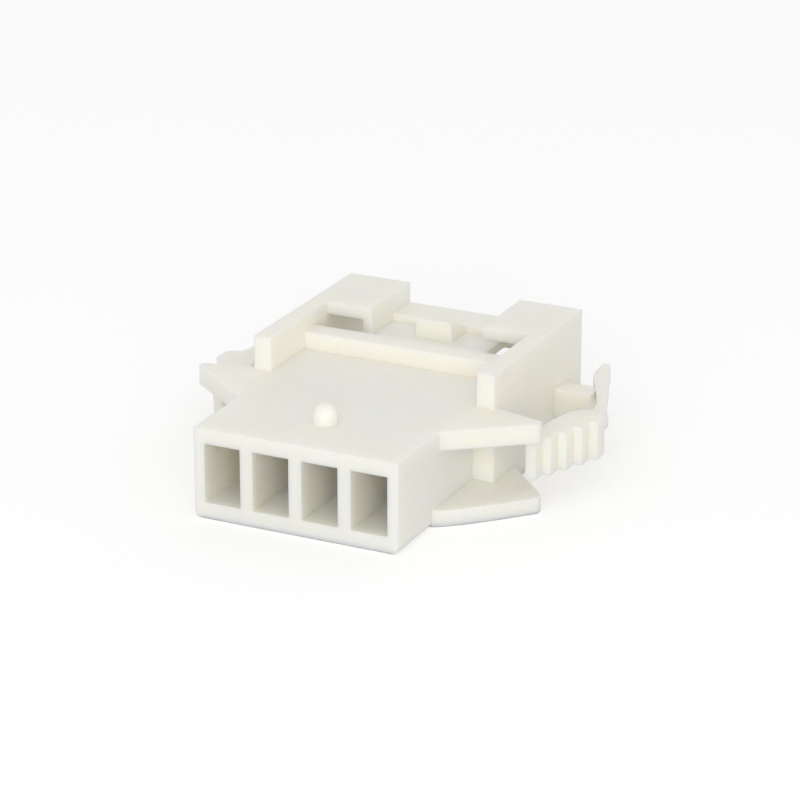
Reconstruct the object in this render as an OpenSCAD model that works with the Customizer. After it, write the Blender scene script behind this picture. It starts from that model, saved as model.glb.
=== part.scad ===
// Crimp connector housing with panel lock arms, moulded in one piece of natural nylon.
// X runs across the circuits, Y from the wire entry to the mating end and Z up.
// The origin is at the middle of the footprint, on the surface that the housing rests on.

/* [Circuits] */
// Number of circuits side by side
circuits = 4; // [3:1:10]
// Distance from one circuit to the next
pitch = 2.5; // [2.4:0.1:4]
// Width of a terminal cavity
cavity_w = 1.85; // [1.5:0.05:2]
// Height of a terminal cavity
cavity_h = 2.9; // [2.6:0.05:3.4]
// Depth of a terminal cavity behind the wire face
cavity_depth = 9.4; // [8.5:0.1:10]
// Width of the passage that a contact reaches the hood through
passage_w = 1.1; // [0.8:0.05:1.3]
// Height of that passage
passage_h = 1.5; // [1:0.05:2]

/* [Wire block] */
// Wall beside the outermost cavities
side_wall = 0.52; // [0.4:0.02:1]
// Wall under the cavities
floor_t = 0.8; // [0.6:0.05:1.2]
// Wall over the cavities
roof_t = 0.74; // [0.6:0.02:1.2]
// Length of the wire block ahead of the guard walls
block_l = 7.95; // [7:0.05:10]
// Radius of the long edges at the bottom
edge_r = 0.35; // [0.1:0.05:0.7]

/* [Contact lance windows] */
// Distance of the windows behind the wire face
lance_y = 5.4; // [4:0.1:6.5]
// Length of a window
lance_l = 2.2; // [1:0.1:2.6]
// Width of a window
lance_w = 1.1; // [0.6:0.05:1.3]

/* [Marker nub] */
// Width of the nub on the roof
nub_w = 1.15; // [0.6:0.05:2]
// Height of the nub
nub_h = 0.95; // [0.6:0.05:1.4]
// Distance of the nub behind the wire face
nub_y = 3.1; // [2:0.1:5]

/* [Hood] */
// Clearance that the hood has over the width of the wire block
hood_play = 0.42; // [0.1:0.02:1]
// Wall at each side of the hood
hood_wall = 0.89; // [0.6:0.01:1.4]
// Floor of the hood
hood_floor = 0.75; // [0.5:0.05:1.1]
// Length of the guard walls ahead of the cross bar
guard_l = 3.5; // [2.5:0.1:6]
// Height of the guard walls over the wire block
guard_h = 1.68; // [1.4:0.02:2.4]
// Depth of the cross bar
bar_l = 1.15; // [0.6:0.05:2]
// Height of the cross bar over the wire block
bar_h = 0.89; // [0.5:0.01:1.3]
// Gap between the cross bar and the rail covers
slot_l = 1.3; // [0.6:0.05:2.5]

/* [Rail covers and latch] */
// Length of the rail covers, up to the mating face
cover_l = 4.35; // [3.4:0.05:7]
// Thickness of a rail cover
cover_t = 0.64; // [0.4:0.02:0.9]
// Width of a rail cover inside the hood wall
cover_w = 2.4; // [1.4:0.05:3]
// Wall that closes the left rail towards the latch deck
deck_wall = 0.45; // [0.3:0.05:0.8]
// Thickness of the latch deck
deck_t = 0.45; // [0.4:0.01:0.8]
// Rise of the latch deck over the wire block
deck_rise = 0.26; // [0:0.02:0.4]
// Depth of the sill along the mating face
sill_l = 1.9; // [1:0.05:2.2]
// Height of the sill over the wire block
sill_h = 0.64; // [0.5:0.02:0.9]
// Width of the wedge that the latch snaps over
wedge_w = 1.9; // [1:0.05:2.4]
// Length of the wedge ahead of the sill
wedge_l = 1.7; // [0.8:0.05:2]
// Height of the wedge over the wire block
wedge_h = 1.3; // [1:0.02:1.5]

/* [Stop wings] */
// Reach of the wings beside the wire block
wing_reach = 3.7; // [2.5:0.1:5]
// Distance of the upper wing roots behind the wire face
wing_y = 4.35; // [3.4:0.05:5]
// Set-back of the wing tips behind their roots
wing_sweep = 2.85; // [1.5:0.05:3.2]
// Thickness of the upper wings
wing_t = 0.94; // [0.5:0.02:1]
// Thickness of the lower wings
lower_wing_t = 0.8; // [0.5:0.02:1]
// Distance that the lower wings start ahead of the upper ones
lower_lead = 0.75; // [0:0.05:1.5]
// Distance that the rear edges of the lower wings run on along the hood
lower_tail = 2; // [0:0.1:3]
// Width of a wing tip
tip_w = 0.35; // [0.2:0.05:0.8]

/* [Panel lock arms] */
// Gap between the hood and the nose of an arm
arm_gap = 1.3; // [0.8:0.05:2]
// Thickness of an arm
arm_t = 1.05; // [0.7:0.05:1.4]
// Height of an arm
arm_h = 1.95; // [1.4:0.05:2.1]
// Height of the arm's lower face over the footprint, at its free end
arm_z = 1.25; // [0.9:0.05:1.3]
// Rise of the arm from its free end to its nose
arm_rise = 0.3; // [0:0.05:0.5]
// Number of locking steps
steps = 4; // [2:1:5]
// Width of a locking step
step_w = 0.42; // [0.3:0.02:0.6]
// Distance from one locking step to the next
step_l = 0.85; // [0.6:0.05:1]
// Gap between the wing tips and the free end of an arm
panel_gap = 0.45; // [0.3:0.05:1]
// Thickness of the web between an arm and the hood
web_t = 1; // [0.6:0.05:1.6]
// Distance of the web from the mating face
web_back = 2.25; // [1.5:0.05:3]

/* [Hidden] */
$fn = 48;

// Widths
wire_w = (circuits - 1) * pitch + cavity_w + 2 * side_wall;
hood_inner_w = wire_w + hood_play;
hood_w = hood_inner_w + 2 * hood_wall;
trough_w = hood_inner_w - 2 * cover_w;

// Heights
wire_h = floor_t + cavity_h + roof_t;
cavity_z = floor_t + cavity_h / 2;
guard_top = wire_h + guard_h;
deck_top = wire_h + deck_rise;
deck_under = deck_top - deck_t;
cover_under = guard_top - cover_t;

// Distances behind the wire face
bar_y = block_l + guard_l;
slot_y = bar_y + bar_l;
cover_y = slot_y + slot_l;
length = cover_y + cover_l;
sill_y = length - sill_l;
wing_tip_y = wing_y + wing_sweep;
arm_y = wing_tip_y + tip_w + panel_gap / 2;
web_y = length - web_back - web_t;

// Places of the arms beside the middle
wing_tip_x = wire_w / 2 + wing_reach;
arm_inner = hood_w / 2 + arm_gap;
arm_outer = wing_tip_x - 0.4;
crown_x = arm_outer + steps * step_w;
crown_y = arm_y + (steps + 1) * step_l;

eps = 0.01;

module both_sides() {
    children();
    mirror([1, 0, 0])
        children();
}

// A block centred on X, from y and z, with size [across, along, up]
module bar(size, y = 0, z = 0) {
    translate([-size[0] / 2, y, z])
        cube(size);
}

// The places of the circuits along X
module per_circuit() {
    for (i = [0 : circuits - 1])
        translate([(i - (circuits - 1) / 2) * pitch, 0, 0])
            children();
}

// Cross-section of the wire block, with its two lower edges rounded
module block_profile() {
    translate([-wire_w / 2, edge_r])
        square([wire_w, wire_h - edge_r]);
    translate([-wire_w / 2 + edge_r, 0])
        square([wire_w - 2 * edge_r, wire_h]);
    for (side = [-1, 1])
        translate([side * (wire_w / 2 - edge_r), edge_r])
            circle(edge_r);
}

module wire_block() {
    translate([0, slot_y, 0])
        rotate([90, 0, 0])
            linear_extrude(slot_y)
                block_profile();
}

// A terminal cavity, the passage behind it and the lance window under it
module terminal_cavity() {
    bar([cavity_w, cavity_depth + eps, cavity_h], -eps, floor_t);
    bar([passage_w, length, passage_h], 0, cavity_z - passage_h / 2);
    bar([lance_w, lance_l, 2 * floor_t], lance_y, -floor_t);
}

// Round-headed nub that marks the middle of the roof
module marker_nub() {
    translate([0, nub_y, wire_h - eps])
        cylinder(d = nub_w, h = nub_h - nub_w / 2 + eps);
    translate([0, nub_y, wire_h + nub_h - nub_w / 2])
        sphere(d = nub_w);
}

// Side walls, cross bar, rail covers and latch deck around the mating cavity
module hood_shell() {
    both_sides()
        translate([hood_inner_w / 2, block_l, 0])
            cube([hood_wall, length - block_l, guard_top]);
    bar([hood_w, length - block_l, wire_h], block_l);
    bar([hood_w, bar_l, bar_h], bar_y, wire_h);
    both_sides()
        translate([trough_w / 2, cover_y, cover_under])
            cube([cover_w + eps, cover_l, cover_t]);
    bar([trough_w, length - slot_y + eps, deck_rise + eps], slot_y - eps, wire_h - eps);
    bar([trough_w, sill_l, sill_h], sill_y, wire_h);
    latch_wedge();
}

// The mating latch rides up the wedge from the sill and drops behind its upright face
module latch_wedge() {
    translate([-wedge_w / 2, 0, wire_h])
        rotate([90, 0, 90])
            linear_extrude(wedge_w)
                polygon([[sill_y - wedge_l, 0], [sill_y + eps, 0],
                         [sill_y + eps, sill_h], [sill_y - wedge_l, wedge_h]]);
}

// Walls beside the latch deck: the whole left rail, and only the sill on the right
module deck_walls() {
    translate([-trough_w / 2 - deck_wall, cover_y, deck_under])
        cube([deck_wall + eps, cover_l, guard_top - deck_under]);
    translate([trough_w / 2 - eps, sill_y, deck_under])
        cube([deck_wall + eps, sill_l, guard_top - deck_under]);
}

// The space that the mating half slides into, with a rail groove along each side
module mating_cavity() {
    bar([hood_inner_w, length, deck_under - hood_floor], slot_y, hood_floor);
    both_sides()
        translate([trough_w / 2, slot_y, hood_floor])
            cube([cover_w, length, cover_under - hood_floor]);
}

// Plan outline of a wing on the right, from root to tip and back along its rear edge
module wing_outline(lead, bend, tail) {
    root = wire_w / 2;
    sunk = root - side_wall / 2;
    polygon(concat(
        [for (t = [0 : 0.125 : 1])
            [root + t * wing_reach, wing_y - lead + (wing_sweep + lead) * pow(t, bend)]],
        [[root + wing_reach, wing_tip_y + tip_w],
         [hood_w / 2, block_l + tip_w + tail],
         [sunk, block_l + tip_w + tail],
         [sunk, wing_y - lead]]));
}

module wing_pair() {
    translate([0, 0, wire_h - wing_t])
        linear_extrude(wing_t)
            wing_outline(0, 1, 0);
    linear_extrude(lower_wing_t)
        wing_outline(lower_lead, 1.2, lower_tail);
}

// Plan outline of an arm on the right: the steps face the wings, and the ramp leads in
function step_points() = [
    for (i = [0 : steps])
        each [[arm_outer + i * step_w, arm_y + i * step_l],
              [arm_outer + i * step_w, arm_y + (i + 1) * step_l]]
];

module arm_outline() {
    polygon(concat(
        [[arm_outer - arm_t / 2, arm_y]],
        step_points(),
        [[arm_inner + 0.25, length],
         [arm_inner, length],
         [arm_inner, web_y + web_t],
         [arm_inner, web_y],
         [crown_x - arm_t, crown_y],
         [crown_x - arm_t - step_w, arm_y + steps * step_l],
         [arm_outer - arm_t / 2, arm_y + step_l]]));
}

// Side view of an arm, which rises a little from its free end to its nose
module arm_profile() {
    polygon([[arm_y, arm_z], [length, arm_z + arm_rise],
             [length, arm_z + arm_rise + arm_h], [arm_y, arm_z + arm_h]]);
}

module lock_arm() {
    intersection() {
        linear_extrude(wire_h) {
            arm_outline();
            translate([hood_w / 2 - hood_wall / 2, web_y])
                square([arm_gap + hood_wall / 2 + web_t / 4, web_t]);
        }
        rotate([90, 0, 90])
            linear_extrude(2 * crown_x)
                arm_profile();
    }
}

module housing() {
    color([0.95, 0.94, 0.89])
        translate([0, -length / 2, 0]) {
            difference() {
                union() {
                    wire_block();
                    marker_nub();
                    hood_shell();
                    both_sides()
                        wing_pair();
                    both_sides()
                        lock_arm();
                }
                per_circuit()
                    terminal_cavity();
                mating_cavity();
            }
            deck_walls();
        }
}

housing();
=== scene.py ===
"""The look of a small moulded nylon connector housing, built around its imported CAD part."""

import math

import bmesh
import bpy
from mathutils import Matrix, Vector


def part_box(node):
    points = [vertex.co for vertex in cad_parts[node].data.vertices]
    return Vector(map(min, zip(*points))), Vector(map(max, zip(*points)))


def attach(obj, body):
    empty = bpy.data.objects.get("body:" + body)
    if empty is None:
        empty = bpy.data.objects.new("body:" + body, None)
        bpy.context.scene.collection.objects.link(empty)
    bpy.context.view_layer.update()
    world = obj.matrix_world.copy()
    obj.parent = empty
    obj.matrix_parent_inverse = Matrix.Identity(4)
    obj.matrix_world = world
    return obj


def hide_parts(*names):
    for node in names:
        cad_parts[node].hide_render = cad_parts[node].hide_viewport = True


MM = 0.001
WHITE = (1, 1, 1, 1)

# Camera: seen from the wire end, a little from the right and above
VIEW_AZIMUTH = 25.93
VIEW_ELEVATION = 20.92
VIEW_DISTANCE = 170.8 * MM
AIM_FROM_CENTRE = Vector((-2.70, 7.35, -2.55)) * MM
LENS_MM = 154.0
CLIP_NEAR = 10 * MM
CLIP_FAR = 5.0

# Studio: a soft lamp near the camera, even light all round and a white floor
KEY_AZIMUTH = 22
KEY_ELEVATION = 17
KEY_DISTANCE = 0.30
KEY_SIZE = 0.22
KEY_WATTS = 0.33
WORLD_LIGHT = 0.73
FLOOR_SIDE = 0.6
FLOOR_PAPER = (0.80, 0.80, 0.80, 1)
FLOOR_LIFT = 0.33

# Natural nylon: milky, with faint clouds in its colour and a fine grain
NYLON = (0.93, 0.908, 0.83, 1.0)
NYLON_ROUGHNESS = 0.42
NYLON_IOR = 1.53
GLOW_WEIGHT = 0.85
GLOW_RADIUS = (1.0, 0.85, 0.6)
GLOW_SCALE = 0.8 * MM
CLOUD_SCALE = 260.0
CLOUD_DETAIL = 3.0
CLOUD_SHADE = 0.97
CLOUD_RANGE = (0.3, 0.7)
GRAIN_SCALE = 9000.0
GRAIN_STRENGTH = 0.08
GRAIN_DEPTH = 0.02 * MM

# Softened edges of the moulding
EDGE_RADIUS_MM = 0.16
EDGE_STEPS = 3
SHARP_ANGLE = math.radians(28)
FLAT_ANGLE = math.radians(0.6)
WELD_MM = 0.0005

# The right lock arm in mm. Its crown is the outer corner behind the last step.
CROWN_INSIDE_REACH = 0.02
CROWN_AHEAD_OF_FACE = 6.225
STEPS = 5
STEP_ACROSS = 0.42
STEP_ALONG = 0.85

# Outlines of the arm's parts, as distances (inwards from the crown, behind the crown)
HEAD_INNER = ((1.75, 0.0), (2.18, -1.7), (2.18, -4.25))
LIP = (
    (1.75, -0.05), (0.0, -0.05), (0.0, 0.48), (0.07, 0.66),
    (0.25, 0.76), (0.5, 1.08), (0.95, 1.22), (1.4, 0.88),
)
STRAP = (
    (1.0, 0.08), (0.2, 0.08), (0.25, 0.73), (1.0, 2.78), (2.28, 6.225),
    (2.68, 6.225), (2.68, 4.975), (1.95, 3.575), (1.2, 1.975), (1.05, 0.73),
)
WEB = ((3.95, 2.975), (1.95, 2.975), (1.95, 4.075), (3.95, 4.075))

# Their undersides and tops, as (height at the crown, climb per mm towards the nose)
HEAD_HEIGHTS = ((1.45625, 0.025), (3.34875, 0.035))
LIP_HEIGHTS = ((2.68, 0.0), (3.34, -0.2))
STRAP_HEIGHTS = ((2.410286, 0.0818), (2.990286, 0.0818))
WEB_HEIGHTS = ((1.7, 0.0), (3.1, 0.0))

# What is cut away for it: the space beside the hood, lower under the upper wing
CUT_FROM_X = 6.3
CUT_FROM_Y = -1.6
CUT_BEND_Y = 1.4
CUT_LOW = 0.95
CUT_TOP_AHEAD = 3.4
CUT_TOP_BEHIND = 3.8
CUT_MARGIN = 0.5


def direction(azimuth, elevation):
    """Unit vector from the object towards a point seen at that azimuth and elevation."""
    azimuth, elevation = math.radians(azimuth), math.radians(elevation)
    return Vector((
        math.sin(azimuth) * math.cos(elevation),
        -math.cos(azimuth) * math.cos(elevation),
        math.sin(elevation),
    ))


def look_at(obj, place, aim):
    obj.location = place
    obj.rotation_euler = (Vector(aim) - Vector(place)).to_track_quat("-Z", "Y").to_euler()


def add_camera(centre):
    camera = bpy.data.objects.new("camera", bpy.data.cameras.new("camera"))
    bpy.context.scene.collection.objects.link(camera)
    camera.data.lens = LENS_MM
    camera.data.clip_start = CLIP_NEAR
    camera.data.clip_end = CLIP_FAR
    aim = centre + AIM_FROM_CENTRE
    look_at(camera, aim + direction(VIEW_AZIMUTH, VIEW_ELEVATION) * VIEW_DISTANCE, aim)
    bpy.context.scene.camera = camera


def add_key_lamp(aim):
    """A square area lamp in front, that faces the object."""
    lamp = bpy.data.objects.new("front_key", bpy.data.lights.new("front_key", "AREA"))
    bpy.context.scene.collection.objects.link(lamp)
    lamp.data.shape = "SQUARE"
    lamp.data.size = KEY_SIZE
    lamp.data.energy = KEY_WATTS
    look_at(lamp, aim + direction(KEY_AZIMUTH, KEY_ELEVATION) * KEY_DISTANCE, aim)


def seen_directly(nodes, links):
    """1 for camera, glossy and transmission rays, and 0 for the rays that carry light."""
    path = nodes.new("ShaderNodeLightPath")
    total = path.outputs["Is Camera Ray"]
    for ray in ("Is Glossy Ray", "Is Transmission Ray"):
        either = nodes.new("ShaderNodeMath")
        either.operation = "MAXIMUM"
        links.new(total, either.inputs[0])
        links.new(path.outputs[ray], either.inputs[1])
        total = either.outputs[0]
    return total


def background(nodes, strength):
    shader = nodes.new("ShaderNodeBackground")
    shader.inputs["Color"].default_value = WHITE
    shader.inputs["Strength"].default_value = strength
    return shader


def add_world():
    """Even light all round, and plain white where the camera looks past the floor."""
    world = bpy.data.worlds.new("studio")
    world.use_nodes = True
    bpy.context.scene.world = world
    nodes, links = world.node_tree.nodes, world.node_tree.links
    nodes.clear()
    mix = nodes.new("ShaderNodeMixShader")
    links.new(seen_directly(nodes, links), mix.inputs[0])
    links.new(background(nodes, WORLD_LIGHT).outputs[0], mix.inputs[1])
    links.new(background(nodes, 1.0).outputs[0], mix.inputs[2])
    links.new(mix.outputs[0], nodes.new("ShaderNodeOutputWorld").inputs["Surface"])


def add_floor():
    """White paper that keeps the object's shadow, lifted to white for the camera only."""
    bpy.ops.mesh.primitive_plane_add(size=FLOOR_SIDE)
    floor = bpy.context.object
    floor.name = "floor"
    material = bpy.data.materials.new("floor_white")
    material.use_nodes = True
    nodes, links = material.node_tree.nodes, material.node_tree.links
    nodes.clear()
    paper = nodes.new("ShaderNodeBsdfDiffuse")
    paper.inputs["Color"].default_value = FLOOR_PAPER
    lift = nodes.new("ShaderNodeEmission")
    lift.inputs["Color"].default_value = WHITE
    strength = nodes.new("ShaderNodeMath")
    strength.operation = "MULTIPLY"
    strength.inputs[1].default_value = FLOOR_LIFT
    links.new(seen_directly(nodes, links), strength.inputs[0])
    links.new(strength.outputs[0], lift.inputs["Strength"])
    both = nodes.new("ShaderNodeAddShader")
    links.new(paper.outputs[0], both.inputs[0])
    links.new(lift.outputs[0], both.inputs[1])
    links.new(both.outputs[0], nodes.new("ShaderNodeOutputMaterial").inputs["Surface"])
    floor.data.materials.append(material)


def nylon_material():
    material = bpy.data.materials.new("natural_nylon")
    material.use_nodes = True
    nodes, links = material.node_tree.nodes, material.node_tree.links
    shader = nodes["Principled BSDF"]
    shader.inputs["Roughness"].default_value = NYLON_ROUGHNESS
    shader.inputs["IOR"].default_value = NYLON_IOR
    shader.inputs["Subsurface Weight"].default_value = GLOW_WEIGHT
    shader.inputs["Subsurface Radius"].default_value = GLOW_RADIUS
    shader.inputs["Subsurface Scale"].default_value = GLOW_SCALE
    place = nodes.new("ShaderNodeTexCoord")

    cloud = nodes.new("ShaderNodeTexNoise")
    cloud.inputs["Scale"].default_value = CLOUD_SCALE
    cloud.inputs["Detail"].default_value = CLOUD_DETAIL
    links.new(place.outputs["Object"], cloud.inputs["Vector"])
    tint = nodes.new("ShaderNodeValToRGB")
    dark, light = tint.color_ramp.elements
    dark.position, light.position = CLOUD_RANGE
    dark.color = tuple(value * CLOUD_SHADE for value in NYLON[:3]) + (1,)
    light.color = NYLON
    links.new(cloud.outputs[0], tint.inputs[0])
    links.new(tint.outputs[0], shader.inputs["Base Color"])

    grain = nodes.new("ShaderNodeTexNoise")
    grain.inputs["Scale"].default_value = GRAIN_SCALE
    links.new(place.outputs["Object"], grain.inputs["Vector"])
    bump = nodes.new("ShaderNodeBump")
    bump.inputs["Strength"].default_value = GRAIN_STRENGTH
    bump.inputs["Distance"].default_value = GRAIN_DEPTH
    links.new(grain.outputs[0], bump.inputs["Height"])
    links.new(bump.outputs[0], shader.inputs["Normal"])
    return material


def cleaned(mesh):
    """Welds doubled points and joins the triangles of each flat face."""
    shape = bmesh.new()
    shape.from_mesh(mesh)
    bmesh.ops.remove_doubles(shape, verts=shape.verts, dist=WELD_MM)
    bmesh.ops.dissolve_limit(
        shape, angle_limit=FLAT_ANGLE, verts=shape.verts, edges=shape.edges, delimit={"NORMAL"}
    )
    shape.to_mesh(mesh)
    shape.free()


def solid(name, outline, low, high):
    """A prism over a plan outline, whose heights follow from the distance along Y."""
    shape = bmesh.new()
    rings = [
        [shape.verts.new((x, y, height(y))) for x, y in outline] for height in (low, high)
    ]
    shape.faces.new(list(reversed(rings[0])))
    shape.faces.new(rings[1])
    for i in range(len(outline)):
        j = (i + 1) % len(outline)
        shape.faces.new((rings[0][i], rings[0][j], rings[1][j], rings[1][i]))
    bmesh.ops.recalc_face_normals(shape, faces=shape.faces)
    mesh = bpy.data.meshes.new(name)
    shape.to_mesh(mesh)
    shape.free()
    tool = bpy.data.objects.new(name, mesh)
    bpy.context.scene.collection.objects.link(tool)
    return tool


def line(y, z, slope=0.0):
    """Height that starts from z at y and climbs by slope along Y."""
    return lambda place: z + slope * (place - y)


def combine(piece, tool, operation):
    change = piece.modifiers.new("change", "BOOLEAN")
    change.operation = operation
    change.solver = "EXACT"
    change.object = tool
    bpy.context.view_layer.objects.active = piece
    bpy.ops.object.modifier_apply(modifier=change.name)
    bpy.data.objects.remove(tool)


def arm_parts(crown_x, crown_y):
    """Plan outline, underside and top of each part of the right arm."""
    front = crown_y - STEPS * STEP_ALONG
    steps = [
        (crown_x - (STEPS - 1 - i) * STEP_ACROSS, front + (i + end) * STEP_ALONG)
        for i in range(STEPS) for end in (0, 1)
    ]
    for outline, heights, ahead in (
        (HEAD_INNER, HEAD_HEIGHTS, steps),
        (LIP, LIP_HEIGHTS, []),
        (STRAP, STRAP_HEIGHTS, []),
        (WEB, WEB_HEIGHTS, []),
    ):
        low, high = (line(crown_y, z, slope) for z, slope in heights)
        yield ahead + [(crown_x - x, crown_y + y) for x, y in outline], low, high


def finer_arms(piece, reach, back):
    """Puts stepped heads on slender straps in the place of the plain CAD arms."""
    cuts = (
        (CUT_FROM_Y, CUT_BEND_Y, CUT_TOP_AHEAD),
        (CUT_BEND_Y, back + CUT_MARGIN, CUT_TOP_BEHIND),
    )
    for side in (1, -1):
        for start, end, top in cuts:
            inner, outer = side * CUT_FROM_X, side * (reach + CUT_MARGIN)
            box = [(inner, start), (outer, start), (outer, end), (inner, end)]
            combine(piece, solid("cut", box, line(0, CUT_LOW), line(0, top)), "DIFFERENCE")
        for outline, low, high in arm_parts(reach - CROWN_INSIDE_REACH, back - CROWN_AHEAD_OF_FACE):
            there = [(side * x, y) for x, y in outline]
            combine(piece, solid("arm", there, low, high), "UNION")


def softened(node_object, name, reach, back):
    """A copy of the moulding with finer arms, its sharp edges rounded as moulded ones are."""
    mesh = node_object.data.copy()
    mesh.transform(Matrix.Scale(1 / MM, 4))
    cleaned(mesh)
    mesh.materials.clear()
    piece = bpy.data.objects.new(name, mesh)
    bpy.context.scene.collection.objects.link(piece)
    finer_arms(piece, reach, back)
    cleaned(piece.data)
    bevel = piece.modifiers.new("edges", "BEVEL")
    bevel.width = EDGE_RADIUS_MM
    bevel.segments = EDGE_STEPS
    bevel.limit_method = "ANGLE"
    bevel.angle_limit = SHARP_ANGLE
    bevel.use_clamp_overlap = True
    bevel.harden_normals = True
    bpy.context.view_layer.objects.active = piece
    piece.select_set(True)
    bpy.ops.object.modifier_apply(modifier=bevel.name)
    piece.data.transform(Matrix.Scale(MM, 4))
    return piece


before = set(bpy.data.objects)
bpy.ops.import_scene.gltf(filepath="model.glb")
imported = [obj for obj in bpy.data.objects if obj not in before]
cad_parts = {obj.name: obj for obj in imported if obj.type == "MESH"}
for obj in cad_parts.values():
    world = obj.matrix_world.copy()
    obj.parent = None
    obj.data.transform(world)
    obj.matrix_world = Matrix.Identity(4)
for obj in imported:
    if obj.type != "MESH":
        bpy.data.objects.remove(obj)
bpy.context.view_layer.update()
low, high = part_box("housing")
centre = (low + high) / 2

add_camera(centre)
add_floor()
add_world()
add_key_lamp(centre)

housing = softened(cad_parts["housing"], "moulded_housing", high.x / MM, high.y / MM)
housing.data.materials.append(nylon_material())
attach(housing, "root")
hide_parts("housing")

bpy.context.scene.view_settings.view_transform = "Standard"
